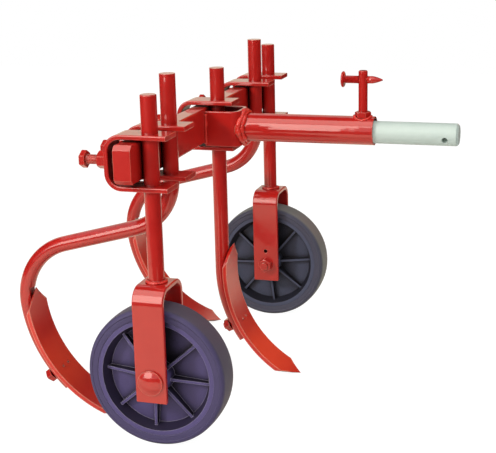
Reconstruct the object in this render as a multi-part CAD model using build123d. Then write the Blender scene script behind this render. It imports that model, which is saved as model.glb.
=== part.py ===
from build123d import *
import os
from math import atan2, cos, degrees, radians, sin

# Tine cultivator for a walking tractor or a wheel hoe.
# A flat toolbar carries five clamps: two hold the stems of depth wheels, three hold tines.
# A drawbar tube with a sliding hitch bar runs forward from the middle of the toolbar.
# Millimetres, +X forward along the drawbar, +Y to the left, +Z up.
# The origin lies on the ground below the middle of the machine.

# Fits and gaps
slip = 0.05          # radial clearance of a piece that slides or turns in another
thread_gap = 0.05    # radial clearance of a screw in its thread
hold_gap = 0.1       # gap left where a clamp presses one piece on another

# Row of rods across the machine
rod_d = 20.0
rod_x = -53.6        # the row stands behind the origin
wheel_y = 247.0      # wheel stems, on both sides of the middle
right_tine_y = 184.0  # side tines, each where its clamp is set
left_tine_y = 176.0

# Toolbar
beam_z = 358.5       # height of the toolbar's middle above the ground
beam_t = 22.0
beam_h = 47.0
beam_end = 20.5      # toolbar left free beyond each wheel clamp
beam_edge = 2.0
beam_bevel = 5.5     # bevel at both ends, above and below

# Bent straps of the clamps, the drawbar bracket and the wheel forks
strap_edge = 1.5     # rolled edges

# Clamps: a bent strap that hangs on the toolbar, with a welded nut and a pressing bolt
clamp_w = 35.0
clamp_t = 6.0
clamp_over = 2.5     # room above the toolbar
clamp_under = 6.5    # room below it
clamp_room = 15.5    # room behind it
clamp_bend = 15.0
clamp_nose = 26.0    # strap in front of the rod axis
clamp_nut_h = 13.0   # welded nut, a high one
bolt_d = 12.0
bolt_len = 50.0
bolt_tip = 1.5
hex_af = 19.0        # hexagon across flats on the M12 heads and nuts
hex_head = 7.5
hex_nut = 10.0
hex_corner = 1.155   # across corners over across flats

# Drawbar: a bent strap round the middle rod, a tube and a hitch bar
bracket_t = 6.0
bracket_under = 1.5  # gap to the middle clamp's lower leg
bracket_over = 6.5   # gap to its upper leg
bracket_side = 9.0   # room on each side of the middle rod
bracket_bend = 6.0
bracket_reach = 38.0
tube_wall = 2.4
tube_room = 1.6      # the bar lies on the tube's floor, this far below its axis
tube_len = 180.0
tube_weld = 5.0
bar_d = 30.0
bar_len = 240.0
bar_out = 110.5      # hitch bar outside the tube
spigot_d = 29.6      # turned end that enters the hitch socket
spigot_len = 108.0
spigot_edge = 2.5
hole_d = 8.0         # cross hole for the hitch's linch pin
hole_back = 17.0
hole_turn = 22.0     # right-hand end of the cross hole turned down, degrees

# Locking screw of the hitch bar
screw_back = 16.0    # behind the tube's mouth
screw_d = 12.0
screw_rise = 79.5    # top of the screw above the drawbar axis
screw_edge = 1.0
lock_nut_h = 8.0
lock_seat = 1.5      # depth of the nut's flat in the tube
tommy_d = 8.0
tommy_len = 54.0
tommy_tip = 19.0
tommy_head_d = 21.0
tommy_head = 3.0
tommy_down = 12.0    # below the top of the screw
tommy_left = 28.0    # head's outer face from the screw axis

# Depth wheels
wheel_d = 180.0
tyre_w = 40.0
tyre_t = 14.0
tyre_shoulder = 6.0
rim_inset = 1.0      # rim edge below the tyre's side
rim_t = 6.0
rim_draft = 6.0
web_t = 8.0
hub_d = 40.0
hub_draft = 2.0
hub_len = 53.0
rib_count = 8
rib_t = 3.5
rib_hub = 17.0       # rib height above the wheel's middle plane, at the hub
rib_rim = 10.0       # the same at the rim
right_rib_turn = 4.5  # how far each wheel has rolled, degrees
left_rib_turn = -5.0
sleeve_wall = 4.0
washer_d = 33.0
washer_t = 1.8

# Wheel forks
fork_w = 40.0
fork_t = 6.0
fork_in = 57.0
fork_bend = 14.0
fork_gap = 22.0      # from the tyre up to the crown
fork_tail = 27.0     # below the axle
fork_corner = 1.5
axle_d = 12.0
axle_head_d = 32.0
axle_head = 6.5
axle_rim = 2.5       # flat edge of the head, below its dome
axle_step = 1.5      # the dome is set in from that edge
axle_end = 3.0
peep_d = 6.0         # small hole in the inner leg
peep_up = 22.0
stem_top = 436.5
stem_weld = 3.0
rod_edge = 1.0

# Tines
side_top = 452.0
centre_top = 434.0
neck = 2.0           # straight rod below the clamp before the side tine's first bend
throat_r = 67.0
arm_fall = 15.0      # slope of the arm, degrees
arm_len = 106.0
rear_over = 6.5      # the rear bend runs on past the vertical, degrees
tine_tail = 25.0     # tine beyond the share's bolt
seat_cut = 2.0       # flat milled for the share

# Shares: curved plates, pointed at both ends so that they can be turned round
share_w = 50.0
share_t = 6.0
share_front_r = 161.0
share_len = 228.0
share_point = 27.0
share_bevel = 8.0
side_pitch = 39.0    # bolt's angle below the horizontal, on the side tines
centre_pitch = 26.7
share_bolt_d = 10.0
share_head_d = 19.0
share_nut_af = 17.0
share_nut_h = 8.0
share_bolt_end = 3.0
spot_cut = 1.5       # flat for the nut on the back of the tine

# Places worked out from the sizes above
rod_r = rod_d / 2
beam_front = rod_x - rod_r - hold_gap
beam_rear = beam_front - beam_t
beam_len = 2 * (wheel_y + clamp_w / 2 + beam_end)
clamp_in = clamp_under + beam_h + clamp_over
clamp_z = beam_z + (clamp_over - clamp_under) / 2
clamp_rear = beam_rear - clamp_room - clamp_t
clamp_low = clamp_z - clamp_in / 2 - clamp_t
bracket_h = clamp_in - bracket_under - bracket_over
draw_z = clamp_z + (bracket_under - bracket_over) / 2
bracket_in = rod_d + 2 * bracket_side
bracket_nose = rod_x + bracket_reach
tube_bore = bar_d / 2 + slip + tube_room
tube_r = tube_bore + tube_wall
bar_z = draw_z - tube_room
tube_mouth = bracket_nose + tube_len
bar_end = tube_mouth + bar_out
screw_x = tube_mouth - screw_back
screw_top = draw_z + screw_rise
axle_z = wheel_d / 2
crown_z = wheel_d + fork_gap + fork_t
fork_out = fork_in + 2 * fork_t
rim_r = wheel_d / 2 - tyre_t
sleeve_r = axle_d / 2 + thread_gap + sleeve_wall
seat_r = share_front_r + share_t
tine_r = seat_r - seat_cut + rod_r
share_half = degrees(share_len / share_front_r) / 2

os.makedirs("parts", exist_ok=True)


def save(shape, name):
    export_step(shape, "parts/" + name + ".step")


def along(direction, x, y, z):
    return Plane(origin=(x, y, z), z_dir=direction)


def hexagon(across, height, edge=1.0):
    # hexagon prism from z = 0 up, with its upper corners turned off
    blank = Cylinder(across / 2 * hex_corner, height, align=(Align.CENTER, Align.CENTER, Align.MIN))
    blank = chamfer(blank.edges().sort_by(Axis.Z)[-1], edge, 2 * edge)
    return blank & extrude(RegularPolygon(across / 2, 6, major_radius=False), height)


def rod(radius, length, edge=0.0):
    # round bar from z = 0 up, with its upper end chamfered
    bar = Cylinder(radius, length, align=(Align.CENTER, Align.CENTER, Align.MIN))
    if edge > 0:
        bar = chamfer(bar.edges().sort_by(Axis.Z)[-1], edge)
    return bar


def strap_outline(depth, inside, thick, bend):
    outline = Pos(depth / 2, 0) * Rectangle(depth, inside + 2 * thick)
    return fillet(outline.vertices().group_by(Axis.X)[0], bend + thick)


def bent_strap(depth, inside, thick, bend, width):
    # U-shaped strap, closed end at x = 0, legs along +x, width along z
    hollow = Pos(thick + depth / 2, 0) * Rectangle(depth, inside)
    hollow = fillet(hollow.vertices().group_by(Axis.X)[0], bend)
    strap = extrude(strap_outline(depth, inside, thick, bend) - hollow, width / 2, both=True)
    side_edges = strap.faces().filter_by(Axis.Z).edges()
    long_edges = side_edges.filter_by(lambda edge: edge.center().X < depth - thick)
    return fillet(long_edges, strap_edge)


def sector(inner, outer, start, turn):
    far = CenterArc((0, 0), outer, start, turn)
    near = CenterArc((0, 0), inner, start, turn)
    return make_face(Curve() + [far, near, Line(far @ 0, near @ 0), Line(far @ 1, near @ 1)])


def upright(y):
    # vertical plane along the machine: x forward from the rods, y up from the ground
    return Plane(origin=(rod_x, y, 0), x_dir=(1, 0, 0), z_dir=(0, -1, 0))


# Toolbar
beam = Box(beam_t, beam_len, beam_h)
beam = chamfer(beam.edges().filter_by(Axis.X), beam_bevel)
beam = fillet(beam.edges().filter_by(Axis.Y), beam_edge)
save(Pos((beam_front + beam_rear) / 2, 0, beam_z) * beam, "toolbar")


# Clamps
def clamp_strap(y):
    place = Plane(origin=(clamp_rear, y, clamp_z), x_dir=(1, 0, 0), z_dir=(0, -1, 0))
    strap = place * bent_strap(rod_x + clamp_nose - clamp_rear, clamp_in, clamp_t, clamp_bend, clamp_w)
    strap -= Pos(rod_x, y, clamp_z) * Cylinder(rod_r + slip, clamp_in + 4 * clamp_t)
    return strap - Pos(clamp_rear, y, clamp_z) * Rot(0, 90, 0) * Cylinder(bolt_d / 2 + slip, 4 * clamp_t)


def clamp_nut(y):
    nut = hexagon(hex_af, clamp_nut_h) - Cylinder(bolt_d / 2 + thread_gap, 3 * clamp_nut_h)
    return along((-1, 0, 0), clamp_rear, y, clamp_z) * nut


def clamp_bolt(y):
    tip_x = beam_rear - hold_gap
    shank = along((1, 0, 0), tip_x - bolt_len, y, clamp_z) * rod(bolt_d / 2, bolt_len, bolt_tip)
    return shank + along((-1, 0, 0), tip_x - bolt_len, y, clamp_z) * hexagon(hex_af, hex_head)


stations = {
    "right_wheel": -wheel_y,
    "right_tine": -right_tine_y,
    "centre_tine": 0.0,
    "left_tine": left_tine_y,
    "left_wheel": wheel_y,
}
for station, y in stations.items():
    save(clamp_strap(y), "clamp_strap_" + station)
    save(clamp_nut(y), "clamp_nut_" + station)
    save(clamp_bolt(y), "clamp_bolt_" + station)

# Drawbar bracket: its legs straddle the middle rod and end on the toolbar's front face
bracket_place = Plane(origin=(bracket_nose, 0, draw_z), x_dir=(-1, 0, 0), z_dir=(0, 0, 1))
bracket_depth = bracket_nose - beam_front
save(bracket_place * bent_strap(bracket_depth, bracket_in, bracket_t, bracket_bend, bracket_h),
     "drawbar_bracket")

# Drawbar tube, coped to the bracket's rounded end and welded round
cope = bracket_bend + bracket_t
tube = along((1, 0, 0), bracket_nose - cope, 0, draw_z) * rod(tube_r, tube_len + cope)
weld = along((1, 0, 0), bracket_nose, 0, draw_z) * Cone(
    tube_r + tube_weld, tube_r, tube_weld, align=(Align.CENTER, Align.CENTER, Align.MIN))
collar = along((1, 0, 0), bracket_nose - cope, 0, draw_z) * rod(tube_r + tube_weld, cope)
envelope = extrude(strap_outline(bracket_depth, bracket_in, bracket_t, bracket_bend), bracket_h, both=True)
tube = tube + weld + collar - bracket_place * envelope
tube -= along((1, 0, 0), bracket_nose, 0, draw_z) * Cylinder(tube_bore, 3 * tube_len)
nut_z = draw_z + tube_r - lock_seat
nut_spot = Pos(screw_x, 0, nut_z) * rod(hex_af / 2 * hex_corner + slip, tube_r)
tube -= nut_spot
tube -= Pos(screw_x, 0, draw_z) * rod(screw_d / 2 + thread_gap, 2 * tube_r)
save(tube, "drawbar_tube")

# Hitch bar
bar = along((1, 0, 0), bar_end - bar_len, 0, bar_z) * rod(bar_d / 2, bar_len - spigot_len)
spigot = along((1, 0, 0), bar_end - spigot_len, 0, bar_z) * rod(spigot_d / 2, spigot_len, spigot_edge)
cross_hole = Rot(90 + hole_turn, 0, 0) * Cylinder(hole_d / 2, 2 * bar_d)
bar = bar + spigot - Pos(bar_end - hole_back, 0, bar_z) * cross_hole
save(bar, "hitch_bar")

# Locking screw with its nut and tommy pin
lock_nut = hexagon(hex_af, lock_nut_h) - Cylinder(screw_d / 2 + thread_gap, 4 * lock_nut_h)
save(Pos(screw_x, 0, nut_z) * lock_nut, "lock_nut")
screw_low = bar_z + bar_d / 2 + hold_gap
tommy_z = screw_top - tommy_down
tommy_axis = along((1, 0, 0), screw_x - tommy_left, 0, tommy_z)
screw = Pos(screw_x, 0, screw_low) * rod(screw_d / 2, screw_top - screw_low, screw_edge)
save(screw - tommy_axis * Cylinder(tommy_d / 2 + slip, 4 * tommy_len), "lock_screw")
tommy = rod(tommy_d / 2, tommy_len - tommy_tip)
tommy += Pos(0, 0, tommy_len - tommy_tip) * Cone(
    tommy_d / 2, tommy_d / 8, tommy_tip, align=(Align.CENTER, Align.CENTER, Align.MIN))
tommy += rod(tommy_head_d / 2, tommy_head)
save(tommy_axis * tommy, "tommy_pin")


# Depth wheels: a rubber tyre on a ribbed plastic centre
def wheel_tyre():
    side = Pos(rim_r + tyre_t / 2, 0) * Rectangle(tyre_t, tyre_w)
    side = fillet(side.vertices().group_by(Axis.X)[-1], tyre_shoulder)
    return revolve(side, Axis.Y)


def wheel_centre(turn):
    bore = sleeve_r + slip
    edge = tyre_w / 2 - rim_inset
    half = [
        (bore, hub_len / 2),
        (hub_d / 2 - hub_draft, hub_len / 2),
        (hub_d / 2, web_t / 2),
        (rim_r - rim_t - rim_draft, web_t / 2),
        (rim_r - rim_t, edge),
        (rim_r, edge),
    ]
    mirrored = [(r, -a) for r, a in reversed(half)]
    centre = revolve(make_face(Polyline(*half, *mirrored, close=True)), Axis.Y)
    inner = (bore + hub_d / 2) / 2
    outer = rim_r - rim_t / 2
    corners = [(inner, rib_hub), (outer, rib_rim), (outer, -rib_rim), (inner, -rib_hub)]
    rib = extrude(make_face(Polyline(*corners, close=True)), rib_t / 2, both=True)
    for i in range(rib_count):
        centre += Rot(0, turn + i * 360 / rib_count, 0) * rib
    return centre


# Fork: an inverted U of strap with the stem welded on its crown, and the axle through its legs
def wheel_set(name, y, turn):
    side = 1 if y > 0 else -1
    axle = Pos(rod_x, y, axle_z)
    save(axle * wheel_tyre(), name + "_tyre")
    save(axle * wheel_centre(turn), name + "_wheel_centre")

    place = Plane(origin=(rod_x, y, crown_z), x_dir=(0, 0, -1), z_dir=(1, 0, 0))
    fork = place * bent_strap(crown_z - axle_z + fork_tail, fork_in, fork_t, fork_bend, fork_w)
    fork = fillet(fork.edges().filter_by(Axis.Y).group_by(Axis.Z)[0], fork_corner)
    fork -= axle * Rot(90, 0, 0) * Cylinder(axle_d / 2 + slip, 2 * fork_out)
    peep = rod(peep_d / 2, fork_out)
    fork -= along((0, -side, 0), rod_x, y, axle_z + peep_up) * peep
    save(fork, name + "_fork")

    stem = rod(rod_r, stem_top - crown_z, rod_edge)
    stem += Cone(rod_r + stem_weld, rod_r, stem_weld, align=(Align.CENTER, Align.CENTER, Align.MIN))
    save(Pos(rod_x, y, crown_z) * stem, name + "_stem")

    sleeve = Cylinder(sleeve_r, fork_in) - Cylinder(axle_d / 2 + thread_gap, 2 * fork_in)
    save(axle * Rot(90, 0, 0) * sleeve, name + "_axle_sleeve")
    washer = rod(washer_d / 2, washer_t) - Cylinder(sleeve_r + slip, 4 * washer_t)
    washers = [along((0, -s, 0), rod_x, y + s * fork_in / 2, axle_z) * washer for s in (1, -1)]
    save(Compound(children=washers), name + "_thrust_washers")

    outer_leg = y + side * fork_out / 2
    inner_leg = y - side * fork_out / 2
    shank = rod(axle_d / 2, fork_out + hex_nut + axle_end)
    dome_h = axle_head - axle_rim
    dome_w = axle_head_d / 2 - axle_step
    dome_r = (dome_w ** 2 + dome_h ** 2) / (2 * dome_h)
    dome = Pos(0, 0, axle_head - dome_r) * Sphere(dome_r)
    dome &= rod(axle_head_d / 2, axle_head) - rod(axle_head_d / 2, axle_rim)
    head = along((0, side, 0), rod_x, outer_leg, axle_z) * (dome + rod(axle_head_d / 2, axle_rim))
    save(along((0, -side, 0), rod_x, outer_leg, axle_z) * shank + head, name + "_axle_bolt")
    nut = hexagon(hex_af, hex_nut) - Cylinder(axle_d / 2 + thread_gap, 4 * hex_nut)
    save(along((0, -side, 0), rod_x, inner_leg, axle_z) * nut, name + "_axle_nut")


wheel_set("right", -wheel_y, right_rib_turn)
wheel_set("left", wheel_y, left_rib_turn)


# Share, drawn round its centre of curvature with the bolt on the -x side
def share_blank():
    plate = extrude(sector(share_front_r, seat_r, 180 - share_half, 2 * share_half), share_w / 2, both=True)
    half_w = share_w / 2
    edge_turn = degrees(atan2(share_point, half_w))
    bevel = degrees(atan2(share_bevel, share_t))
    reach = 2 * share_len
    for end in (1, -1):
        a = radians(180 + end * share_half)
        radial = Vector(cos(a), sin(a), 0)
        outward = Vector(-sin(a), cos(a), 0) * end
        tip = Plane(origin=radial * share_front_r, x_dir=outward, z_dir=radial)
        for hand in (1, -1):
            cutter = Box(reach, reach, reach, align=(Align.MIN, Align.CENTER, Align.CENTER))
            plate -= tip * Rot(0, 0, hand * edge_turn) * Rot(0, -bevel, 0) * cutter
    bolt_axis = Plane(origin=(-share_front_r, 0, 0), z_dir=(-1, 0, 0))
    plate -= bolt_axis * Cylinder(share_bolt_d / 2 + slip, 4 * share_t)
    return plate - bolt_axis * head_cone(slip)


def head_cone(gap):
    # countersunk head, its flat side on the share's front face
    depth = (share_head_d - share_bolt_d) / 2
    return Cone(share_head_d / 2 + gap, share_bolt_d / 2 + gap, depth,
                align=(Align.CENTER, Align.CENTER, Align.MIN))


def share_bolt():
    length = tine_r + rod_r - spot_cut - share_front_r + share_nut_h + share_bolt_end
    return Plane(origin=(-share_front_r, 0, 0), z_dir=(-1, 0, 0)) * (
        head_cone(0) + rod(share_bolt_d / 2, length))


def share_nut():
    nut = hexagon(share_nut_af, share_nut_h) - Cylinder(share_bolt_d / 2 + thread_gap, 4 * share_nut_h)
    return Plane(origin=(-(tine_r + rod_r - spot_cut), 0, 0), z_dir=(-1, 0, 0)) * nut


# Seat, nut flat and bolt hole that are cut in a tine, round the same centre of curvature
def seat_cutter():
    reach = share_half + degrees(tine_tail / tine_r)
    face = sector(seat_r - rod_d, seat_r, 180 - share_half, reach + share_half)
    cut = extrude(face, share_w / 2, both=True)
    spot = Plane(origin=(-(tine_r + rod_r - spot_cut), 0, 0), z_dir=(-1, 0, 0))
    cut += spot * rod(share_nut_af / 2 * hex_corner + slip, rod_d)
    hole = Cylinder(share_bolt_d / 2 + slip, 3 * rod_d)
    return cut + Plane(origin=(-tine_r, 0, 0), z_dir=(-1, 0, 0)) * hole


def tine_bar(path):
    return sweep(Plane(origin=path @ 0, z_dir=path % 0) * Circle(rod_r), path=path)


# Side tine: down through the clamp, back along the arm, round the rear bend and into the share's curve
def side_path(curve_z):
    turn = 90 - arm_fall
    shank = Line((0, side_top), (0, clamp_low - neck))
    throat = JernArc(shank @ 1, shank % 1, throat_r, -turn)
    arm = Line(throat @ 1, throat @ 1 + (throat % 1) * arm_len)
    over = radians(rear_over)
    height = (arm @ 1).Y - curve_z + tine_r * sin(over)
    rear_r = height / (sin(radians(turn)) + sin(over))
    rear = JernArc(arm @ 1, arm % 1, rear_r, turn + rear_over)
    rest = side_pitch - rear_over + degrees(tine_tail / tine_r)
    curve = JernArc(rear @ 1, rear % 1, tine_r, rest)
    return Wire([shank, throat, arm, rear, curve]), (rear @ 1).X + tine_r * cos(over)


def centre_path(curve_z):
    shank = Line((0, centre_top), (0, curve_z))
    curve = JernArc(shank @ 1, shank % 1, tine_r, centre_pitch + degrees(tine_tail / tine_r))
    return Wire([shank, curve]), tine_r


blank = share_blank()


def tine_set(name, y, pitch, path_of):
    # the share's lowest edge stands on the ground
    turned = Rot(0, 0, pitch)
    curve_z = -(turned * blank).bounding_box().min.Y
    path, curve_x = path_of(curve_z)
    about = Pos(curve_x, curve_z) * turned
    bar = tine_bar(path) - about * seat_cutter()
    save(upright(y) * bar, name + "_tine")
    save(upright(y) * about * blank, name + "_share")
    save(upright(y) * about * share_bolt(), name + "_share_bolt")
    save(upright(y) * about * share_nut(), name + "_share_nut")


tine_set("right", -right_tine_y, side_pitch, side_path)
tine_set("centre", 0.0, centre_pitch, centre_path)
tine_set("left", left_tine_y, side_pitch, side_path)
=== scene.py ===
import math

import bmesh
import bpy
from mathutils import Matrix, Vector, noise


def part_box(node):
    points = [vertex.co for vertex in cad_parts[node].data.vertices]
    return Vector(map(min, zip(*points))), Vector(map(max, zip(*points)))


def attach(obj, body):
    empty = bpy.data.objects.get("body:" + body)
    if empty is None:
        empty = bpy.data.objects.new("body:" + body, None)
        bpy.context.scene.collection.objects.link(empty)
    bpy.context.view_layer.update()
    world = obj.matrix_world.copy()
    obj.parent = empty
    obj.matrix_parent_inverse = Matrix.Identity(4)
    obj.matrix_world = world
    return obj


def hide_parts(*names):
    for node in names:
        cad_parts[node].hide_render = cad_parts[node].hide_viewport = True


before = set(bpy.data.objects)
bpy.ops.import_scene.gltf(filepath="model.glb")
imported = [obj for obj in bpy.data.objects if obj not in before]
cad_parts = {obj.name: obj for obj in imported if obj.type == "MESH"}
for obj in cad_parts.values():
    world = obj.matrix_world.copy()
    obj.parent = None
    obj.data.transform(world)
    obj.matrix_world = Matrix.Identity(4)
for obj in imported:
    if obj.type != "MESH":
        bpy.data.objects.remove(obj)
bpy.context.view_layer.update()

mm = 0.001
fullTurn = 2 * math.pi
wheelSides = {"right": -1, "left": 1}  # and the sign of that side along Y
tineSides = ("right", "centre", "left")
clampNames = ("right_wheel", "right_tine", "centre_tine", "left_tine", "left_wheel")


def toLinear(hexText):
    channels = [int(hexText[i:i + 2], 16) / 255 for i in (1, 3, 5)]
    curve = [c / 12.92 if c <= 0.04045 else ((c + 0.055) / 1.055) ** 2.4 for c in channels]
    return (*curve, 1.0)


def addNode(tree, kind, links=None, values=None, **settings):
    node = tree.nodes.new(kind)
    for name, value in settings.items():
        setattr(node, name, value)
    for name, value in (values or {}).items():
        node.inputs[name].default_value = value
    for name, source in (links or {}).items():
        tree.links.new(source, node.inputs[name])
    return node


def startMaterial(name):
    material = bpy.data.materials.new(name)
    material.use_nodes = True
    tree = material.node_tree
    tree.nodes.clear()
    return material, tree


def perMetre(millimetres):
    return 1 / (millimetres * mm)  # noise scale for a grain of that size


# Camera: fitted to the photograph's upright rods, wheels and drawbar
photoCamera = {
    "widthPx": 496,
    "focalPx": 1166.1,
    "place": (0.46107, -1.49452, 0.64514),
    "yaw": 0.308,
    "pitch": 0.269,
    "roll": 0.025,
    "sensor": 36.0,
}


def makeCamera(spec):
    yaw, pitch, roll = spec["yaw"], spec["pitch"], spec["roll"]
    forward = Vector((-math.sin(yaw) * math.cos(pitch), math.cos(yaw) * math.cos(pitch), -math.sin(pitch)))
    level = Vector((math.cos(yaw), math.sin(yaw), 0))
    upright = level.cross(forward)
    right = level * math.cos(roll) - upright * math.sin(roll)
    up = level * math.sin(roll) + upright * math.cos(roll)
    data = bpy.data.cameras.new("camera")
    data.sensor_width = spec["sensor"]
    data.lens = spec["focalPx"] * spec["sensor"] / spec["widthPx"]
    camera = bpy.data.objects.new("camera", data)
    turn = Matrix((right, up, -forward)).transposed().to_4x4()
    camera.matrix_world = Matrix.Translation(spec["place"]) @ turn
    bpy.context.collection.objects.link(camera)
    bpy.context.scene.camera = camera


makeCamera(photoCamera)
print("camera set")

# Red alkyd enamel, sprayed on unpainted bar and strap: glossy, a little wavy, with painted shade in its
# corners and pale edges that are partly primer showing through and partly a painted highlight
redEnamel = {
    "deep": "#ad1512",
    "warm": "#be2018",
    "patchMm": 34.0,      # slow change of film thickness
    "paintedShade": "#3a0a09",   # painted shade in the corners
    "paintedShadeMm": 50.0,
    "paintedShadeOpen": (0.18, 0.58),  # openness of a corner, from the most painted shade to none
    "paintedShadeMost": 0.92,
    "dullOpen": (0.15, 0.45),   # the same, from no gloss to full gloss
    "thin": "#e8937a",    # pale edges: primer showing through, and a painted highlight
    "edgeWearHighlightMm": 1.3,
    "edgeWearHighlightTurn": (0.82, 0.97),   # how far an edge turns, as a cosine, from the palest edge to none
    "edgeWearHighlightShare": 0.6,
    "plain": -1.0,        # no pale edge nearer than this to the middle of the width
    "plainFade": 0.03,
    "waveMm": 16.0,       # rolled bar under the paint
    "waveHigh": 1.2,
    "waveStrength": 0.15,
    "peelMm": 2.2,        # orange peel, drawn coarser than real so that it shows
    "peelHigh": 0.25,
    "peelStrength": 0.08,
    "lumpMm": 0.0,        # welds only: spatter under the paint
    "lumpHigh": 0.8,
    "lumpStrength": 0.5,
    "edgeMm": 0.9,        # the film rounds the edges
    "rough": (0.34, 0.46),
    "filmGloss": 0.1,     # the pigment layer below the clear top film
    "coat": 1.0,
    "coatRough": 0.06,
    "ior": 1.5,
}
patchSpread = (0.3, 0.7)  # where most of a noise's values lie


def makeEnamel(name, changes):
    spec = {**redEnamel, **changes}
    material, tree = startMaterial(name)
    place = addNode(tree, "ShaderNodeTexCoord")
    patch = addNode(tree, "ShaderNodeTexNoise", {"Vector": place.outputs["Object"]},
                    {"Scale": perMetre(spec["patchMm"]), "Detail": 3.0, "Roughness": 0.6})
    colour = addNode(tree, "ShaderNodeMix", {"Factor": patch.outputs["Fac"]},
                     {6: toLinear(spec["deep"]), 7: toLinear(spec["warm"])}, data_type="RGBA")
    # painted shade: a darker colour in closed corners, by how open they are
    corner = addNode(tree, "ShaderNodeAmbientOcclusion", None,
                     {"Distance": spec["paintedShadeMm"] * mm}, samples=6)
    shade = addNode(tree, "ShaderNodeMapRange", {"Value": corner.outputs["AO"]},
                    {"From Min": spec["paintedShadeOpen"][0], "From Max": spec["paintedShadeOpen"][1],
                     "To Min": spec["paintedShadeMost"], "To Max": 0.0})
    sheen = addNode(tree, "ShaderNodeMapRange", {"Value": corner.outputs["AO"]},
                    {"From Min": spec["dullOpen"][0], "From Max": spec["dullOpen"][1],
                     "To Min": 0.0, "To Max": spec["coat"]})
    shadedColour = addNode(tree, "ShaderNodeMix", {"Factor": shade.outputs["Result"], 6: colour.outputs[2]},
                    {7: toLinear(spec["paintedShade"])}, data_type="RGBA")
    # pale edges, partly primer showing through and partly a painted highlight
    facing = addNode(tree, "ShaderNodeNewGeometry")
    rim = addNode(tree, "ShaderNodeBevel", None, {"Radius": spec["edgeWearHighlightMm"] * mm}, samples=6)
    turned = addNode(tree, "ShaderNodeVectorMath",
                     {0: rim.outputs["Normal"], 1: facing.outputs["Normal"]}, operation="DOT_PRODUCT")
    edgeWearHighlightAmount = addNode(tree, "ShaderNodeMapRange", {"Value": turned.outputs["Value"]},
                   {"From Min": spec["edgeWearHighlightTurn"][0], "From Max": spec["edgeWearHighlightTurn"][1],
                    "To Min": spec["edgeWearHighlightShare"], "To Max": 0.0})
    across = addNode(tree, "ShaderNodeSeparateXYZ", {"Vector": place.outputs["Generated"]})
    across = addNode(tree, "ShaderNodeMath", {0: across.outputs["Y"]}, {1: 0.5},
                     operation="SUBTRACT")  # from the middle of the width
    across = addNode(tree, "ShaderNodeMath", {0: across.outputs["Value"]}, operation="ABSOLUTE")
    outer = addNode(tree, "ShaderNodeMapRange",
                    {"Value": across.outputs["Value"], "To Max": edgeWearHighlightAmount.outputs["Result"]},
                    {"From Min": spec["plain"], "From Max": spec["plain"] + spec["plainFade"],
                     "To Min": 0.0})
    film = addNode(tree, "ShaderNodeMix", {"Factor": outer.outputs["Result"], 6: shadedColour.outputs[2]},
                   {7: toLinear(spec["thin"])}, data_type="RGBA")
    peel = addNode(tree, "ShaderNodeTexNoise", {"Vector": place.outputs["Object"]},
                   {"Scale": perMetre(spec["peelMm"]), "Detail": 2.0, "Roughness": 0.5})
    wave = addNode(tree, "ShaderNodeTexNoise", {"Vector": place.outputs["Object"]},
                   {"Scale": perMetre(spec["waveMm"]), "Detail": 1.0, "Roughness": 0.4})
    rough = addNode(tree, "ShaderNodeMapRange", {"Value": patch.outputs["Fac"]},
                    {"From Min": patchSpread[0], "From Max": patchSpread[1],
                     "To Min": spec["rough"][0], "To Max": spec["rough"][1]})
    edge = addNode(tree, "ShaderNodeBevel", None, {"Radius": spec["edgeMm"] * mm}, samples=6)
    relief = addNode(tree, "ShaderNodeBump",
                     {"Height": wave.outputs["Fac"], "Normal": edge.outputs["Normal"]},
                     {"Strength": spec["waveStrength"], "Distance": spec["waveHigh"] * mm})
    relief = addNode(tree, "ShaderNodeBump",
                     {"Height": peel.outputs["Fac"], "Normal": relief.outputs["Normal"]},
                     {"Strength": spec["peelStrength"], "Distance": spec["peelHigh"] * mm})
    if spec["lumpMm"] > 0:
        lump = addNode(tree, "ShaderNodeTexNoise", {"Vector": place.outputs["Object"]},
                       {"Scale": perMetre(spec["lumpMm"]), "Detail": 3.0, "Roughness": 0.6})
        relief = addNode(tree, "ShaderNodeBump",
                         {"Height": lump.outputs["Fac"], "Normal": relief.outputs["Normal"]},
                         {"Strength": spec["lumpStrength"], "Distance": spec["lumpHigh"] * mm})
    shader = addNode(tree, "ShaderNodeBsdfPrincipled",
                     {"Base Color": film.outputs[2], "Roughness": rough.outputs["Result"],
                      "Normal": relief.outputs["Normal"], "Coat Normal": relief.outputs["Normal"],
                      "Coat Weight": sheen.outputs["Result"]},
                     {"IOR": spec["ior"], "Specular IOR Level": spec["filmGloss"],
                      "Coat Roughness": spec["coatRough"]})
    addNode(tree, "ShaderNodeOutputMaterial", {"Surface": shader.outputs["BSDF"]})
    return material


# painted light: a lighter copy of the bar's red for the shares, their bolts and the welds, with softer
# gloss
paintedLightRed = {"deep": "#c91f17", "warm": "#d63020", "coatRough": 0.24}
# pale along the plate's two long edges: a painted highlight, with primer showing through
cutPlate = {**paintedLightRed, "edgeMm": 0.15, "edgeWearHighlightShare": 0.75, "edgeWearHighlightMm": 3.4, "plain": 0.26}
flushBolt = {**paintedLightRed, "edgeMm": 0.15, "edgeWearHighlightShare": 0.0}  # one film over plate and bolt
overWeld = {**paintedLightRed, "paintedShadeMm": 5.0, "lumpMm": 3.0}  # painted shade only in the bead's own ripples, on the lighter red that is painted light
enamel = makeEnamel("red_alkyd_enamel_sprayed", {})
shareEnamel = makeEnamel("red_alkyd_enamel_on_cut_plate", cutPlate)
boltEnamel = makeEnamel("red_alkyd_enamel_on_flush_bolt", flushBolt)
weldEnamel = makeEnamel("red_alkyd_enamel_over_weld", overWeld)

# Zinc-plated drawn bar: pale grey with a green cast, satin, faint lines along the bar
zincPlate = {
    "pale": "#c5d2ca",
    "dull": "#b4c4bb",
    "patchMm": 18.0,
    "lineMm": 1.4,      # drawing lines, coarser than real so that they show
    "lineStretch": 60.0,
    "lineHigh": 0.2,
    "lineStrength": 0.12,
    "metallic": 0.1,    # the plating has dulled to a chalky film
    "rough": 0.62,
}


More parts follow.
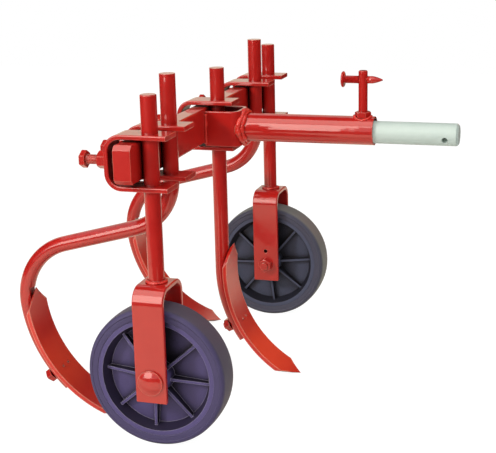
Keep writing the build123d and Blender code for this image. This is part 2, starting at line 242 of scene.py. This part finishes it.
def makeZinc(name, spec):
    material, tree = startMaterial(name)
    place = addNode(tree, "ShaderNodeTexCoord")
    along = addNode(tree, "ShaderNodeMapping", {"Vector": place.outputs["Object"]},
                    {"Scale": (1 / spec["lineStretch"], 1.0, 1.0)})
    line = addNode(tree, "ShaderNodeTexNoise", {"Vector": along.outputs["Vector"]},
                   {"Scale": perMetre(spec["lineMm"]), "Detail": 3.0, "Roughness": 0.6})
    patch = addNode(tree, "ShaderNodeTexNoise", {"Vector": place.outputs["Object"]},
                    {"Scale": perMetre(spec["patchMm"]), "Detail": 4.0, "Roughness": 0.65})
    colour = addNode(tree, "ShaderNodeMix", {"Factor": patch.outputs["Fac"]},
                     {6: toLinear(spec["dull"]), 7: toLinear(spec["pale"])}, data_type="RGBA")
    bump = addNode(tree, "ShaderNodeBump", {"Height": line.outputs["Fac"]},
                   {"Strength": spec["lineStrength"], "Distance": spec["lineHigh"] * mm})
    shader = addNode(tree, "ShaderNodeBsdfPrincipled",
                     {"Base Color": colour.outputs[2], "Normal": bump.outputs["Normal"]},
                     {"Metallic": spec["metallic"], "Roughness": spec["rough"]})
    addNode(tree, "ShaderNodeOutputMaterial", {"Surface": shader.outputs["BSDF"]})
    return material


zinc = makeZinc("zinc_plated_drawn_bar", zincPlate)

# Turned mild steel: grey, with fine rings round the axle
turnedSteel = {
    "pale": "#9d9c98",
    "dull": "#7c7a76",
    "ringMm": 0.8,
    "ringStretch": 50.0,
    "ringHigh": 0.1,
    "ringStrength": 0.2,
    "rough": 0.34,
}


def makeTurned(name, spec):
    material, tree = startMaterial(name)
    place = addNode(tree, "ShaderNodeTexCoord")
    rings = addNode(tree, "ShaderNodeMapping", {"Vector": place.outputs["Object"]},
                    {"Scale": (1 / spec["ringStretch"], 1.0, 1 / spec["ringStretch"])})
    line = addNode(tree, "ShaderNodeTexNoise", {"Vector": rings.outputs["Vector"]},
                   {"Scale": perMetre(spec["ringMm"]), "Detail": 2.0})
    colour = addNode(tree, "ShaderNodeMix", {"Factor": line.outputs["Fac"]},
                     {6: toLinear(spec["dull"]), 7: toLinear(spec["pale"])}, data_type="RGBA")
    bump = addNode(tree, "ShaderNodeBump", {"Height": line.outputs["Fac"]},
                   {"Strength": spec["ringStrength"], "Distance": spec["ringHigh"] * mm})
    shader = addNode(tree, "ShaderNodeBsdfPrincipled",
                     {"Base Color": colour.outputs[2], "Normal": bump.outputs["Normal"]},
                     {"Metallic": 1.0, "Roughness": spec["rough"]})
    addNode(tree, "ShaderNodeOutputMaterial", {"Surface": shader.outputs["BSDF"]})
    return material


bareSteel = makeTurned("mild_steel_turned", turnedSteel)

# Violet-grey rubber, compression moulded: dull and clouded, the tread lighter with dust and a painted sheen
tyreRubber = {
    "side": "#3f385a",
    "cloud": "#494165",
    "dustAndSheen": "#5a555d",
    # lighter edges: a painted highlight
    "paintedEdgeShading": "#575070",
    "cloudMm": 26.0,
    "grainMm": 1.6,
    "edgeMm": 0.6,
    "rough": 0.58,
    "paintedShade": "#15131f",
    "paintedShadeMm": 10.0,
    "deepest": 0.3,     # openness of the corner with the most painted shade
    "paintedWallShade": 0.0,
    "gloss": 0.2,
}
# Violet-blue polyamide, injection moulded: a soft sheen, a painted highlight on its edges and painted shade
# in its recesses
wheelNylon = {
    "side": "#4c436e",
    "cloud": "#564b7a",
    "dustAndSheen": "#564b7a",
    # lighter edges: a painted highlight
    "paintedEdgeShading": "#a59db6",
    "cloudMm": 40.0,
    "grainMm": 0.9,
    "edgeMm": 1.2,
    "rough": 0.5,
    "paintedShade": "#0e0a0a",
    "paintedShadeMm": 42.0,
    "deepest": 0.37,
    "paintedWallShade": 0.8,        # painted shade on the rim's inner face
    "gloss": 0.2,
}
# The left wheel: the same mouldings in greyer colours, with a lighter tread of dust and painted sheen on
# the rubber, and painted shade on the nylon's edges
leftTyre = {**tyreRubber, "side": "#424250", "cloud": "#4a4a59", "dustAndSheen": "#80817a"}
leftNylon = {**wheelNylon, "side": "#44485a", "cloud": "#4d5166", "dustAndSheen": "#44485a", "paintedEdgeShading": "#2b2d36"}
# What all four mouldings share
moulded = {
    "treadTurn": (0.1, 0.75),   # how far a face looks sideways, from the most dust and painted sheen to none
    "treadMost": 0.75,
    "paintedShadeFade": 0.3,
    "paintedShadeMost": 0.95,
    "paintedWallShadeTurn": (-0.85, -0.5),  # how far a face looks to the axle, from the most painted shade to none
    "paintedEdgeShadingTurn": (0.85, 0.99),   # how far an edge turns, as a cosine, from the most painted edge shading to none
    "paintedEdgeShadingMost": 0.8,
    "roughLess": 0.06,
    "roughMore": 0.08,
    "grainHigh": 0.2,
    "grainStrength": 0.15,
    "ior": 1.52,
}


def makeMoulded(name, changes):
    spec = {**moulded, **changes}
    material, tree = startMaterial(name)
    place = addNode(tree, "ShaderNodeTexCoord")
    cloud = addNode(tree, "ShaderNodeTexNoise", {"Vector": place.outputs["Object"]},
                    {"Scale": perMetre(spec["cloudMm"]), "Detail": 4.0, "Roughness": 0.6})
    grain = addNode(tree, "ShaderNodeTexNoise", {"Vector": place.outputs["Object"]},
                    {"Scale": perMetre(spec["grainMm"]), "Detail": 2.0})
    body = addNode(tree, "ShaderNodeMix", {"Factor": cloud.outputs["Fac"]},
                   {6: toLinear(spec["side"]), 7: toLinear(spec["cloud"])}, data_type="RGBA")
    facing = addNode(tree, "ShaderNodeNewGeometry")
    # faces that look sideways, the tread most of all: dust and a painted sheen
    sideways = addNode(tree, "ShaderNodeSeparateXYZ", {"Vector": facing.outputs["Normal"]})
    sideways = addNode(tree, "ShaderNodeMath", {0: sideways.outputs["Y"]}, operation="ABSOLUTE")
    tread = addNode(tree, "ShaderNodeMapRange", {"Value": sideways.outputs["Value"]},
                    {"From Min": spec["treadTurn"][0], "From Max": spec["treadTurn"][1],
                     "To Min": spec["treadMost"], "To Max": 0.0})
    colour = addNode(tree, "ShaderNodeMix", {"Factor": tread.outputs["Result"], 6: body.outputs[2]},
                     {7: toLinear(spec["dustAndSheen"])}, data_type="RGBA")
    # painted shade: darker in closed corners, and on the rim's inner face where it looks to the axle
    corner = addNode(tree, "ShaderNodeAmbientOcclusion", None,
                     {"Distance": spec["paintedShadeMm"] * mm}, samples=8)
    shade = addNode(tree, "ShaderNodeMapRange", {"Value": corner.outputs["AO"]},
                    {"From Min": spec["deepest"], "From Max": spec["deepest"] + spec["paintedShadeFade"],
                     "To Min": spec["paintedShadeMost"], "To Max": 0.0})
    spoke = addNode(tree, "ShaderNodeVectorMath", {0: place.outputs["Generated"]}, {1: (0.5, 0.5, 0.5)},
                    operation="SUBTRACT")  # from the hub's middle
    spoke = addNode(tree, "ShaderNodeVectorMath", {0: spoke.outputs["Vector"]}, {1: (1.0, 0.0, 1.0)},
                    operation="MULTIPLY")  # in the wheel's plane
    spoke = addNode(tree, "ShaderNodeVectorMath", {0: spoke.outputs["Vector"]}, operation="NORMALIZE")
    inward = addNode(tree, "ShaderNodeVectorMath",
                     {0: spoke.outputs["Vector"], 1: place.outputs["Normal"]}, operation="DOT_PRODUCT")
    paintedWallShade = addNode(tree, "ShaderNodeMapRange", {"Value": inward.outputs["Value"]},
                   {"From Min": spec["paintedWallShadeTurn"][0], "From Max": spec["paintedWallShadeTurn"][1],
                    "To Min": spec["paintedWallShade"], "To Max": 0.0})
    paintedShadeAmount = addNode(tree, "ShaderNodeMath", {0: shade.outputs["Result"], 1: paintedWallShade.outputs["Result"]},
                     operation="MAXIMUM")
    shadedColour = addNode(tree, "ShaderNodeMix", {"Factor": paintedShadeAmount.outputs["Value"], 6: colour.outputs[2]},
                    {7: toLinear(spec["paintedShade"])}, data_type="RGBA")
    # painted edge shading: a highlight on the tyres and the right wheel's nylon, a shade on the left
    # wheel's nylon
    edge = addNode(tree, "ShaderNodeBevel", None, {"Radius": spec["edgeMm"] * mm}, samples=6)
    turned = addNode(tree, "ShaderNodeVectorMath",
                     {0: edge.outputs["Normal"], 1: facing.outputs["Normal"]}, operation="DOT_PRODUCT")
    edgeShadingAmount = addNode(tree, "ShaderNodeMapRange", {"Value": turned.outputs["Value"]},
                     {"From Min": spec["paintedEdgeShadingTurn"][0], "From Max": spec["paintedEdgeShadingTurn"][1],
                      "To Min": spec["paintedEdgeShadingMost"], "To Max": 0.0})
    paintedEdgeShading = addNode(tree, "ShaderNodeMix", {"Factor": edgeShadingAmount.outputs["Result"], 6: shadedColour.outputs[2]},
                   {7: toLinear(spec["paintedEdgeShading"])}, data_type="RGBA")
    rough = addNode(tree, "ShaderNodeMapRange", {"Value": cloud.outputs["Fac"]},
                    {"From Min": patchSpread[0], "From Max": patchSpread[1],
                     "To Min": spec["rough"] - spec["roughLess"],
                     "To Max": spec["rough"] + spec["roughMore"]})
    bump = addNode(tree, "ShaderNodeBump",
                   {"Height": grain.outputs["Fac"], "Normal": edge.outputs["Normal"]},
                   {"Strength": spec["grainStrength"], "Distance": spec["grainHigh"] * mm})
    shader = addNode(tree, "ShaderNodeBsdfPrincipled",
                     {"Base Color": paintedEdgeShading.outputs[2], "Roughness": rough.outputs["Result"],
                      "Normal": bump.outputs["Normal"]},
                     {"IOR": spec["ior"], "Specular IOR Level": spec["gloss"]})
    addNode(tree, "ShaderNodeOutputMaterial", {"Surface": shader.outputs["BSDF"]})
    return material


rubbers = {
    "right": makeMoulded("rubber_compression_moulded", tyreRubber),
    "left": makeMoulded("rubber_compression_moulded_left", leftTyre),
}
nylons = {
    "right": makeMoulded("polyamide_injection_moulded", wheelNylon),
    "left": makeMoulded("polyamide_injection_moulded_left", leftNylon),
}
print("materials made")


def dress(node, material):
    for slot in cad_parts[node].material_slots:
        slot.material = material


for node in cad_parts:
    dress(node, enamel)
dress("hitch_bar", zinc)
for side in tineSides:
    dress(side + "_share", shareEnamel)
    dress(side + "_share_bolt", boltEnamel)
for side in wheelSides:
    dress(side + "_tyre", rubbers[side])
    dress(side + "_wheel_centre", nylons[side])
    dress(side + "_axle_sleeve", bareSteel)
    dress(side + "_thrust_washers", bareSteel)
print("nodes dressed")


def addPiece(name, bm, body, material):
    bmesh.ops.recalc_face_normals(bm, faces=bm.faces)
    mesh = bpy.data.meshes.new(name)
    bm.to_mesh(mesh)
    bm.free()
    mesh.materials.append(material)
    piece = bpy.data.objects.new(name, mesh)
    bpy.context.collection.objects.link(piece)
    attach(piece, body)
    return piece


def skinRows(bm, rows, closed=False):
    # quads between rings of vertices, and from the last ring to the first where closed
    count = len(rows)
    width = len(rows[0])
    for i in range(count if closed else count - 1):
        here, there = rows[i], rows[(i + 1) % count]
        for j in range(width):
            k = (j + 1) % width
            face = bm.faces.new((here[j], here[k], there[k], there[j]))
            face.smooth = True


def ringAngles(count):
    return [fullTurn * i / count for i in range(count)]


# Weld beads: hand-laid, one ripple every few millimetres
weldBead = {
    "sides": 14,
    "rippleMm": 3.2,
    "rippleDepth": 0.2,   # shares of the bead's thickness
    "lump": 0.52,
    "lumpMm": 7.0,
    "endSize": 0.4,       # an open bead tapers to this
    "nearX": 0.8,         # a run this close to X takes Z as its helper
}


def makeBead(name, path, closed, thick, body):
    spec = weldBead
    bm = bmesh.new()
    rows = []
    run = 0.0
    count = len(path)
    for i, point in enumerate(path):
        before = path[i - 1] if closed or i > 0 else point
        after = path[(i + 1) % count] if closed or i < count - 1 else point
        tangent = (after - before).normalized()
        if i > 0:
            run += (point - path[i - 1]).length
        helper = Vector((1, 0, 0)) if abs(tangent.x) < spec["nearX"] else Vector((0, 0, 1))
        side = tangent.cross(helper).normalized()
        top = side.cross(tangent)
        ripple = abs(math.sin(math.pi * run / (spec["rippleMm"] * mm)))
        lump = noise.noise(point * perMetre(spec["lumpMm"]))
        size = thick * (1 - spec["rippleDepth"] * (1 - ripple) + spec["lump"] * lump)
        if not closed and i in (0, count - 1):
            size *= spec["endSize"]
        rows.append([bm.verts.new(point + (side * math.cos(a) + top * math.sin(a)) * size)
                     for a in ringAngles(spec["sides"])])
    skinRows(bm, rows, closed)
    if not closed:
        bm.faces.new(rows[0])
        bm.faces.new(rows[-1])
    return addPiece(name, bm, body, weldEnamel)


stemBead = {"radius": 11.6 * mm, "thick": 2.3 * mm, "lift": 0.9 * mm, "points": 90}
for side in wheelSides:
    low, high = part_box(side + "_stem")
    middle = (low + high) / 2
    path = [Vector((middle.x + stemBead["radius"] * math.cos(a),
                    middle.y + stemBead["radius"] * math.sin(a), low.z + stemBead["lift"]))
            for a in ringAngles(stemBead["points"])]
    makeBead(side + "_stem_weld", path, True, stemBead["thick"], side + "_stem_set")

clampBead = {"out": 0.4 * mm, "back": 0.8 * mm, "thick": 2.2 * mm, "points": 90}
for clamp in clampNames:
    low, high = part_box("clamp_nut_" + clamp)
    middle = (low + high) / 2
    radius = (high.z - low.z) / 2 + clampBead["out"]
    path = [Vector((high.x - clampBead["back"],
                    middle.y + radius * math.cos(a), middle.z + radius * math.sin(a)))
            for a in ringAngles(clampBead["points"])]
    makeBead("nut_weld_" + clamp, path, True, clampBead["thick"], "clamp_" + clamp + "_body")

# the drawbar tube's bead follows the bracket's rounded nose
tubeBead = {
    "tubeRadius": 19.05 * mm,
    "noseRadius": 12 * mm,
    "points": 150,
    "passes": {  # out from the nose, up from the tube, thickness
        "drawbar_weld_root": (1.6 * mm, 3.2 * mm, 3.6 * mm),
        "drawbar_weld_cap": (4.6 * mm, 1.0 * mm, 3.2 * mm),
    },
}
bracketLow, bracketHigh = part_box("drawbar_bracket")
flatHalf = bracketHigh.y - tubeBead["noseRadius"]
tubeLow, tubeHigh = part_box("drawbar_tube")
drawbarZ = (tubeLow.z + tubeHigh.z) / 2


def noseBack(y):
    past = max(0.0, abs(y) - flatHalf)
    return tubeBead["noseRadius"] - math.sqrt(max(0.0, tubeBead["noseRadius"] ** 2 - past ** 2))


for weld, (out, rise, thick) in tubeBead["passes"].items():
    radius = tubeBead["tubeRadius"] + rise
    path = []
    for a in ringAngles(tubeBead["points"]):
        y = radius * math.cos(a)
        path.append(Vector((bracketHigh.x - noseBack(y) + out, y, drawbarZ + radius * math.sin(a))))
    makeBead(weld, path, True, thick, "frame")

nutBead = {"radius": 11.2 * mm, "thick": 1.9 * mm, "lift": 0.2 * mm, "points": 80}
low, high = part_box("lock_nut")
nutX = (low.x + high.x) / 2
path = []
for a in ringAngles(nutBead["points"]):
    y = nutBead["radius"] * math.sin(a)
    z = drawbarZ + math.sqrt(tubeBead["tubeRadius"] ** 2 - y ** 2)  # lies on the tube
    path.append(Vector((nutX + nutBead["radius"] * math.cos(a), y, z + nutBead["lift"])))
makeBead("lock_nut_weld", path, True, nutBead["thick"], "frame")

legBead = {"thick": 2.4 * mm, "short": 3.0 * mm, "front": 1.0 * mm, "out": 0.6 * mm, "points": 44}
legLow, legHigh = bracketLow.z + legBead["short"], bracketHigh.z - legBead["short"]
for side, sign in wheelSides.items():
    y = bracketHigh.y if sign > 0 else bracketLow.y
    path = [Vector((bracketLow.x + legBead["front"], y + sign * legBead["out"],
                    legLow + (legHigh - legLow) * i / (legBead["points"] - 1)))
            for i in range(legBead["points"])]
    makeBead("bracket_weld_" + side, path, False, legBead["thick"], "frame")
print("weld beads laid")

# Clamp bolts: hexagon heads on cut threads, painted with the rest
clampBolt = {
    "radius": 6.0 * mm,
    "pitch": 1.75 * mm,
    "depth": 0.95 * mm,
    "flank": 2.4,           # steepness of the thread's groove
    "tipRun": 1.5 * mm,     # the first turn is turned away
    "headHigh": 7.5 * mm,
    "flats": 19.0 * mm,
    "headBevel": 1.4 * mm,
    "headEnd": 0.87,        # width left at the end of the bevel
    "around": 28,
    "perPitch": 5,
}
hexSides = 6


def makeClampBolt(clamp):
    spec = clampBolt
    low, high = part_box("clamp_bolt_" + clamp)
    y, z = (low.y + high.y) / 2, (low.z + high.z) / 2
    headX = low.x + spec["headHigh"]
    length = high.x - headX
    bm = bmesh.new()
    rows = []
    steps = int(length / spec["pitch"] * spec["perPitch"])
    for i in range(steps + 1):
        x = headX + length * i / steps
        row = []
        tip = min(1.0, (high.x - x) / spec["tipRun"])
        for a in ringAngles(spec["around"]):
            phase = ((x - headX) / spec["pitch"] - a / fullTurn) % 1.0
            groove = max(0.0, 1 - abs(phase - 0.5) * spec["flank"])
            radius = spec["radius"] - spec["depth"] * max(groove, 1 - tip)
            row.append(bm.verts.new((x, y + radius * math.cos(a), z + radius * math.sin(a))))
        rows.append(row)
    skinRows(bm, rows)
    bm.faces.new(rows[-1])
    bm.faces.new(rows[0])
    corner = spec["flats"] / math.sqrt(3)
    rows = []
    for x, width in ((headX, 1.0), (low.x + spec["headBevel"], 1.0), (low.x, spec["headEnd"])):
        radius = corner * width
        angles = [fullTurn / 4 + a for a in ringAngles(hexSides)]  # a corner stands on top
        rows.append([bm.verts.new((x, y + radius * math.cos(a), z + radius * math.sin(a))) for a in angles])
    bm.faces.new(rows[0])
    for i in range(len(rows) - 1):
        for j in range(hexSides):
            k = (j + 1) % hexSides
            bm.faces.new((rows[i][j], rows[i][k], rows[i + 1][k], rows[i + 1][j]))
    bm.faces.new(rows[-1])
    bolt = addPiece("bolt_" + clamp, bm, "bolt_" + clamp + "_body", enamel)
    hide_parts("clamp_bolt_" + clamp)


for clamp in clampNames:
    makeClampBolt(clamp)
print("clamp bolts cut")

# Tommy pin: forged after it was put through the screw, so it swells on both sides of the hole
tommyPin = {
    "around": 36,
    "holeRadius": 4.0 * mm,
    "holeHalf": 5.6 * mm,   # stays at the hole's size this far from the screw's axis
    "swell": 1.25,          # times the radius in the hole
    "swellRun": 0.3 * mm,
    "head": 3.0 * mm,
    "headEdge": 0.8 * mm,
    "tip": 15.0 * mm,
    "tipSteps": 9,
    "tipCurve": 1.6,
    "blunt": 0.8 * mm,
    "sharp": 0.6,           # edges over this angle stay crisp
}


def makeTommyPin(spec):
    low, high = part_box("tommy_pin")
    screwLow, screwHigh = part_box("lock_screw")
    screwX = (screwLow.x + screwHigh.x) / 2
    y, z = (low.y + high.y) / 2, (low.z + high.z) / 2
    headR = (high.z - low.z) / 2
    headIn = low.x + spec["head"]
    edgeR = headR - spec["headEdge"]
    thin = spec["holeRadius"]
    thick = thin * spec["swell"]
    holeRear, holeFront = screwX - spec["holeHalf"], screwX + spec["holeHalf"]
    tipX = high.x - spec["tip"]
    profile = [(low.x, edgeR), (low.x + spec["headEdge"], headR), (headIn - spec["headEdge"], headR),
               (headIn, edgeR), (headIn, thick), (holeRear - spec["swellRun"], thick), (holeRear, thin),
               (holeFront, thin), (min(holeFront + spec["swellRun"], tipX), thick)]
    for i in range(1, spec["tipSteps"] + 1):
        along = i / spec["tipSteps"]
        narrow = 1 - along ** spec["tipCurve"]
        profile.append((tipX + spec["tip"] * along, spec["blunt"] + (thick - spec["blunt"]) * narrow))
    bm = bmesh.new()
    rows = []
    for x, radius in profile:
        rows.append([bm.verts.new((x, y + radius * math.cos(a), z + radius * math.sin(a)))
                     for a in ringAngles(spec["around"])])
    skinRows(bm, rows)
    bm.faces.new(rows[0])
    bm.faces.new(rows[-1])
    for edge in bm.edges:
        edge.smooth = edge.calc_face_angle(0.0) < spec["sharp"]
    pin = addPiece("tommy_pin_forged", bm, "screw", enamel)
    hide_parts("tommy_pin")


makeTommyPin(tommyPin)
print("tommy pin forged")

# Tyres: crowned tread, rounded shoulders, sides that swell a little over the rim
tyreForm = {
    "around": 160,
    "crown": 0.7 * mm,
    "shoulder": 6.0 * mm,
    "sideIn": 0.5 * mm,
    "bulge": 0.3 * mm,
    "sideSteps": 12,
    "shoulderSteps": 12,
    "treadSteps": 6,
}


def tyreProfile(inner, outer, half):
    spec = tyreForm
    points = [(inner, 0.0), (inner, half - spec["sideIn"])]
    shoulderR = outer - spec["shoulder"]
    for i in range(1, spec["sideSteps"]):
        along = i / spec["sideSteps"]
        deep = spec["sideIn"] * (1 - along) - spec["bulge"] * math.sin(math.pi * along) * (1 - along)
        points.append((inner + (shoulderR - inner) * along, half - deep))
    flat = half - spec["shoulder"]
    for i in range(spec["shoulderSteps"] + 1):
        a = fullTurn / 4 * i / spec["shoulderSteps"]
        points.append((shoulderR - spec["crown"] + spec["shoulder"] * math.sin(a),
                       flat + spec["shoulder"] * math.cos(a)))
    for i in range(1, spec["treadSteps"] + 1):
        y = flat * (1 - i / spec["treadSteps"])
        points.append((outer - spec["crown"] * (y / flat) ** 2, y))
    return points + [(r, -y) for r, y in reversed(points[1:-1])]


def makeTyre(side):
    low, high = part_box(side + "_tyre")
    middle = (low + high) / 2
    rimLow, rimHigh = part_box(side + "_wheel_centre")
    outer = (high.z - low.z) / 2
    inner = (rimHigh.z - rimLow.z) / 2
    profile = tyreProfile(inner, outer, (high.y - low.y) / 2)
    bm = bmesh.new()
    rows = []
    for a in ringAngles(tyreForm["around"]):
        rows.append([bm.verts.new((middle.x + r * math.cos(a), middle.y + y, middle.z + r * math.sin(a)))
                     for r, y in profile])
    skinRows(bm, rows, closed=True)
    tyre = addPiece(side + "_tyre_moulded", bm, side + "_wheel", rubbers[side])
    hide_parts(side + "_tyre")


for side in wheelSides:
    makeTyre(side)
print("tyres moulded")

# Studio: white paper below, far soft lamps, and cards in the room that only the gloss sees
studio = {
    "white": "#ffffff",
    "sheet": "#f4f4f2",
    "sheetShow": 0.82,   # the rest of the sheet is plain paper, which keeps the shadow
    "sheetGlow": 1.18,
    "reach": 3.0,
    "ambient": 0.26,
}


def addPlane(name, low, high, material):
    flat = [i for i in range(3) if low[i] == high[i]][0]
    first, second = [i for i in range(3) if i != flat]
    corners = []
    for along, up in ((low, low), (high, low), (high, high), (low, high)):
        corner = list(low)
        corner[first] = along[first]
        corner[second] = up[second]
        corners.append(corner)
    mesh = bpy.data.meshes.new(name)
    mesh.from_pydata(corners, [], [tuple(range(len(corners)))])
    mesh.materials.append(material)
    plane = bpy.data.objects.new(name, mesh)
    bpy.context.collection.objects.link(plane)
    return plane


def seenRays(tree):
    # 1 for rays from the camera, from gloss or through glass
    path = addNode(tree, "ShaderNodeLightPath")
    seen = addNode(tree, "ShaderNodeMath",
                   {0: path.outputs["Is Camera Ray"], 1: path.outputs["Is Glossy Ray"]},
                   operation="MAXIMUM")
    return addNode(tree, "ShaderNodeMath",
                   {0: seen.outputs["Value"], 1: path.outputs["Is Transmission Ray"]},
                   operation="MAXIMUM").outputs["Value"]


def makeSheet(spec):
    material, tree = startMaterial("white_paper_sheet")
    show = addNode(tree, "ShaderNodeMath", {0: seenRays(tree)}, {1: spec["sheetShow"]},
                   operation="MULTIPLY")
    paper = addNode(tree, "ShaderNodeBsdfDiffuse", None, {"Color": toLinear(spec["sheet"])})
    white = addNode(tree, "ShaderNodeEmission", None,
                    {"Color": toLinear(spec["white"]), "Strength": spec["sheetGlow"]})
    mix = addNode(tree, "ShaderNodeMixShader",
                  {0: show.outputs["Value"], 1: paper.outputs["BSDF"], 2: white.outputs["Emission"]})
    addNode(tree, "ShaderNodeOutputMaterial", {"Surface": mix.outputs["Shader"]})
    return material


def makeCard(name, colour, glow):
    material, tree = startMaterial(name + "_card")
    shine = addNode(tree, "ShaderNodeEmission", None, {"Color": toLinear(colour), "Strength": glow})
    addNode(tree, "ShaderNodeOutputMaterial", {"Surface": shine.outputs["Emission"]})
    return material


reach = studio["reach"]
addPlane("floor", (-reach, -reach, 0), (reach, reach, 0), makeSheet(studio))
dark = ("#0d0c0c", 0.6)
day = "#fff4e8"
cardZ = mm  # cards on the floor lie this far above it
nearY = -0.85  # where the room's floor turns pale
rightX = 0.42
cards = {  # two corners, colour and glow of what the gloss sees round the object
    "room_front": ((-reach, -reach, cardZ), (rightX, nearY, cardZ), *dark),
    "room_floor": ((rightX, -reach, cardZ), (reach, reach, cardZ), *dark),
    "room_back": ((-0.2, 1.6, 0.0), (1.7, 1.6, 1.9), *dark),
    "room_right": ((1.7, -2.2, 0.0), (1.7, 1.6, 1.6), *dark),
    "room_left": ((-2.0, -1.6, 0.0), (-2.0, 1.0, 2.0), *dark),
    "room_near": ((-2.0, -2.6, 0.0), (2.0, -2.6, 0.45), *dark),
    "room_top": ((-1.6, -0.1, 2.3), (1.6, 1.3, 2.3), *dark),
    "cream_floor": ((-2.0, nearY, cardZ), (rightX, 2.2, cardZ), "#f3e3ca", 1.1),
    "cream_front": ((-0.7, nearY, 2 * cardZ), (0.15, -0.36, 2 * cardZ), "#f6e4cc", 1.9),
    "cream_back": ((-3.0, 2.2, 0.0), (0.0, 2.2, 2.2), "#efe6d0", 1.0),
    "brick_back": ((0.35, 1.55, 0.3), (1.1, 1.55, 1.1), "#ff6a40", 2.4),
    "window_front": ((-1.35, -1.45, 0.27), (-0.2, -1.45, 1.75), day, 7.5),
    "window_roof": ((-1.6, -1.7, 2.2), (0.5, -0.1, 2.2), day, 3.7),
}
for name, (low, high, colour, glow) in cards.items():
    card = addPlane(name, low, high, makeCard(name, colour, glow))
    card.visible_camera = False
    card.visible_diffuse = False
    card.visible_shadow = False

world = bpy.data.worlds.new("studio")
bpy.context.scene.world = world
world.use_nodes = True
tree = world.node_tree
tree.nodes.clear()
soft = addNode(tree, "ShaderNodeBackground", None,
               {"Color": toLinear(studio["white"]), "Strength": studio["ambient"]})
white = addNode(tree, "ShaderNodeBackground", None, {"Color": toLinear(studio["white"]), "Strength": 1.0})
mix = addNode(tree, "ShaderNodeMixShader",
              {0: seenRays(tree), 1: soft.outputs["Background"], 2: white.outputs["Background"]})
addNode(tree, "ShaderNodeOutputWorld", {"Surface": mix.outputs["Shader"]})

lamps = {
    "front_lamp": {"place": (-1.95, -2.2, 1.8), "aim": (0.0, 0.0, 0.25), "size": 0.5, "power": 56.0},
    "low_lamp": {"place": (0.2, -3.0, 0.5), "aim": (0.0, 0.0, 0.15), "size": 1.4, "power": 15.0},
    "top_lamp": {"place": (0.8, -0.5, 3.0), "aim": (0.0, 0.0, 0.2), "size": 1.5, "power": 31.0},
    "right_lamp": {"place": (2.3, -1.6, 1.3), "aim": (0.0, 0.0, 0.25), "size": 1.6, "power": 11.0},
}
for name, spec in lamps.items():
    data = bpy.data.lights.new(name, "AREA")
    data.size = spec["size"]
    data.energy = spec["power"]
    lamp = bpy.data.objects.new(name, data)
    lamp.location = spec["place"]
    lamp.rotation_euler = (Vector(spec["aim"]) - Vector(spec["place"])).to_track_quat("-Z", "Y").to_euler()
    lamp.visible_camera = False
    lamp.visible_glossy = False  # the cards stand in for them
    bpy.context.collection.objects.link(lamp)
bpy.context.scene.view_settings.view_transform = "Standard"
print("studio lit")
